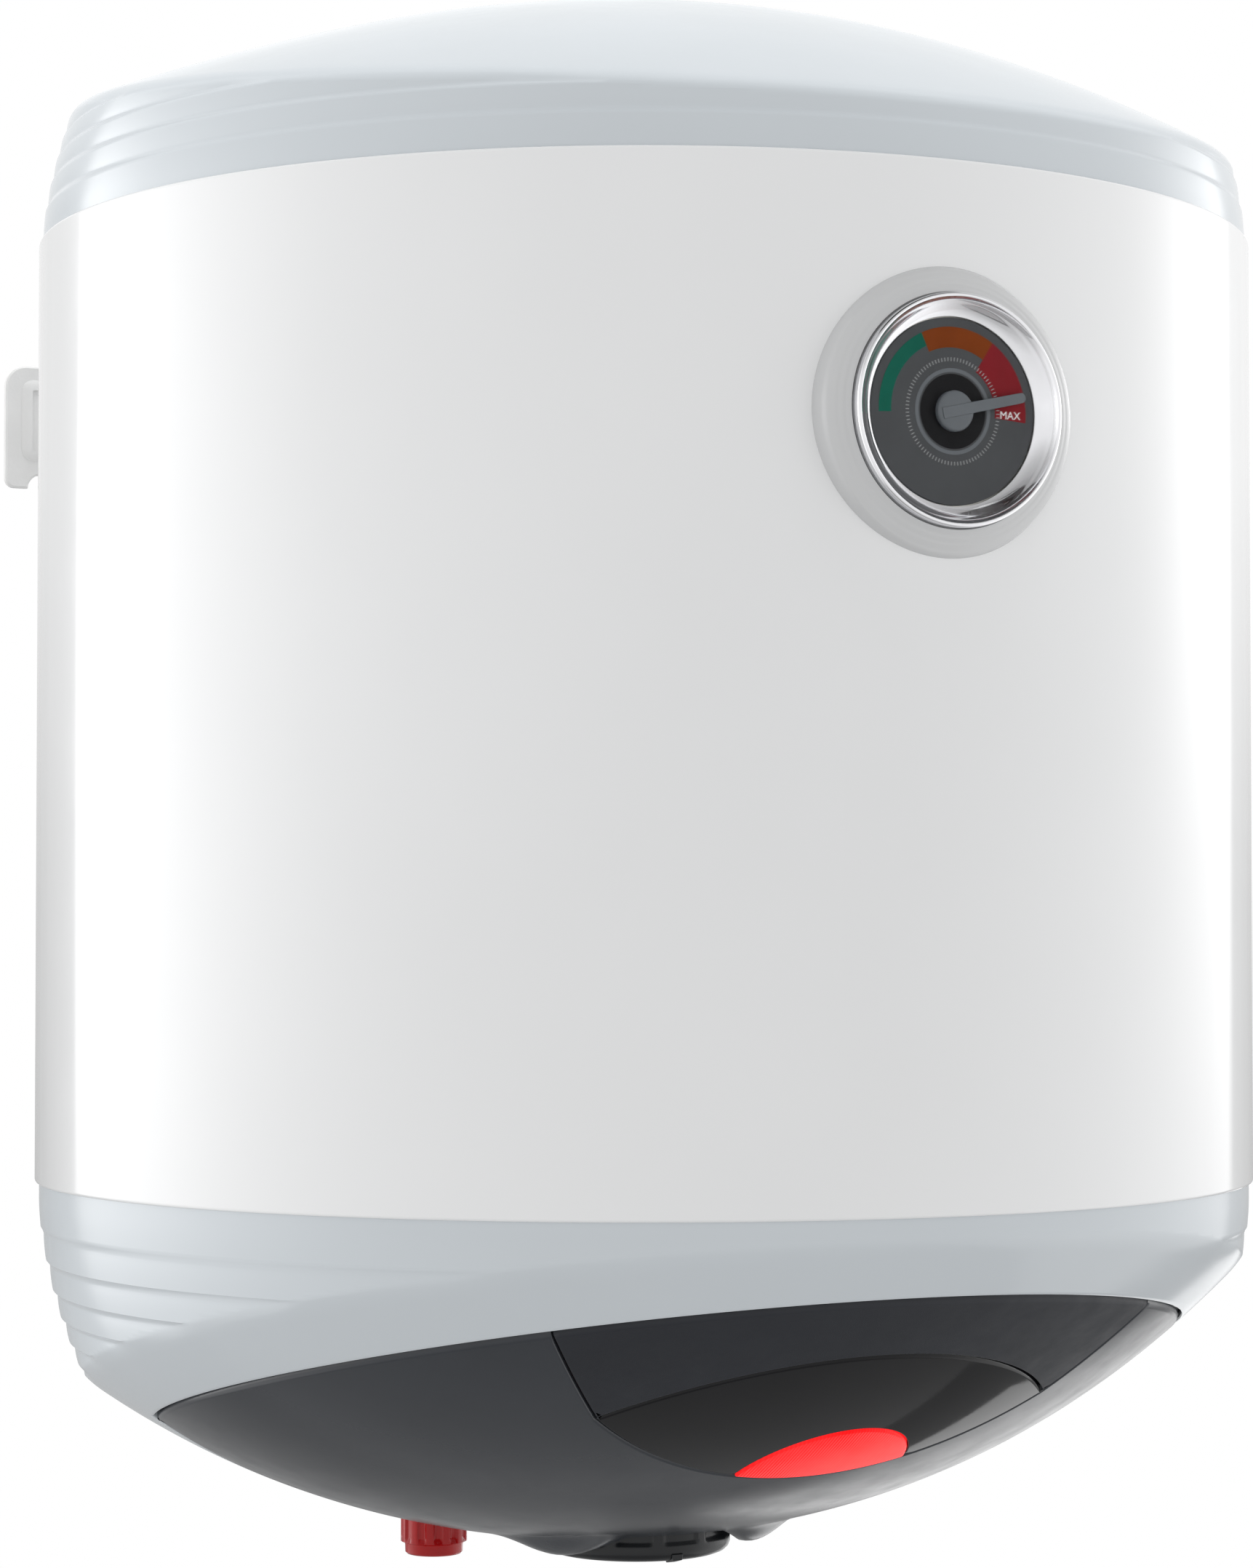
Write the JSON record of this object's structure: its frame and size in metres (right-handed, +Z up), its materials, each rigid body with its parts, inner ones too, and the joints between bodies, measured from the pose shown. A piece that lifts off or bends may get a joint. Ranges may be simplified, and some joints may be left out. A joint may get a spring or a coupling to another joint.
{
  "type": "tank water heater",
  "caption": "Wall-hung electric storage water heater: white cylindrical jacket with sloped grey end caps, front temperature gauge, and a dark service cover below with thermostat knob and lamp.",
  "frame": {"origin": "middle of the wall bracket's flat rear face, where the heater bears on the wall", "axes": "+Z up, +Y into the wall (the jacket's front and gauge face -Y), +X to the heater's right as seen from the front"},
  "size_m": [0.45, 0.4689, 0.5834],
  "materials": {
    "jacket_white": "glossy white enamelled sheet steel",
    "end_caps": "pale blue-grey gloss moulding",
    "dark_cover": "dark grey gloss moulding",
    "matt_panel": "dark matt moulding",
    "black_panel": "black piano gloss",
    "lamp_lens": "translucent red with fine ribs",
    "lamp": "red glow lamp",
    "knob": "near-black gloss moulding",
    "hot_cap": "red gloss moulding",
    "cold_cap": "blue gloss moulding",
    "tank_steel": "dark blue glass enamel",
    "foam": "rigid polyurethane foam, matt",
    "zinc_steel": "zinc plated",
    "element_copper": "copper, dull",
    "anode": "cast magnesium, dull",
    "rubber": "black rubber",
    "bezel_chrome": "bright chrome",
    "gauge_glass": "clear",
    "dial_face": "dark grey printed face",
    "pointer": "grey",
    "thermostat_case": "ivory moulding",
    "bracket_paint": "light grey textured powder coat"
  },
  "bodies": {
    "heater": {"anode_rod": "anode", "bottom_cap": "end_caps", "bracket_bolt_left": "zinc_steel", "bracket_bolt_right": "zinc_steel", "cable_gland": "rubber", "cold_inlet_pipe": "zinc_steel", "control_panel": "matt_panel", "cover_screw_left": "zinc_steel", "cover_screw_right": "zinc_steel", "flange_bolt_1": "zinc_steel", "flange_bolt_2": "zinc_steel", "flange_bolt_3": "zinc_steel", "flange_bolt_4": "zinc_steel", "flange_bolt_5": "zinc_steel", "flange_bolt_6": "zinc_steel", "flange_gasket": "rubber", "flange_plate": "zinc_steel", "gauge_bezel": "bezel_chrome", "gauge_body": "zinc_steel", "gauge_collar": "jacket_white", "gauge_dial": "dial_face", "gauge_lens": "gauge_glass", "heating_element": "element_copper", "hot_outlet_pipe": "zinc_steel", "indicator_panel": "black_panel", "inlet_diffuser": "cold_cap", "inner_tank": "tank_steel", "insulation": "foam", "outer_jacket": "jacket_white", "pilot_lamp": "lamp", "pilot_lamp_lens": "lamp_lens", "service_cover": "dark_cover", "thermostat_body": "thermostat_case", "thermostat_probe": "element_copper", "top_cap": "end_caps", "wall_bracket": "bracket_paint"},
    "knob": {"thermostat_knob": "knob", "thermostat_spindle": "zinc_steel"},
    "pointer": {"gauge_pointer": "pointer"},
    "reset": {"reset_button": "hot_cap"},
    "hot_cap": {"hot_port_cap": "hot_cap"},
    "cold_cap": {"cold_port_cap": "cold_cap"}
  },
  "joints": [
    {"name": "knob_turn", "type": "hinge", "parent": "heater", "child": "knob", "pos_m": [0, -0.228, -0.44], "axis": [0, 0, 1], "range_deg": [-135, 135]},
    {"name": "pointer_sweep", "type": "hinge", "parent": "heater", "child": "pointer", "pos_m": [0, -0.4645, -0.04], "axis": [0, -1, 0], "range_deg": [-15, 173]},
    {"name": "reset_press", "type": "slide", "parent": "heater", "child": "reset", "axis": [0, 0, 1], "range_m": [0, 0.0025], "stiffness_N_per_m": 400},
    {"name": "hot_cap_off", "type": "slide", "parent": "heater", "child": "hot_cap", "axis": [0, 0, -1], "range_m": [0, 0.025]},
    {"name": "cold_cap_off", "type": "slide", "parent": "heater", "child": "cold_cap", "axis": [0, 0, -1], "range_m": [0, 0.025]}
  ]
}
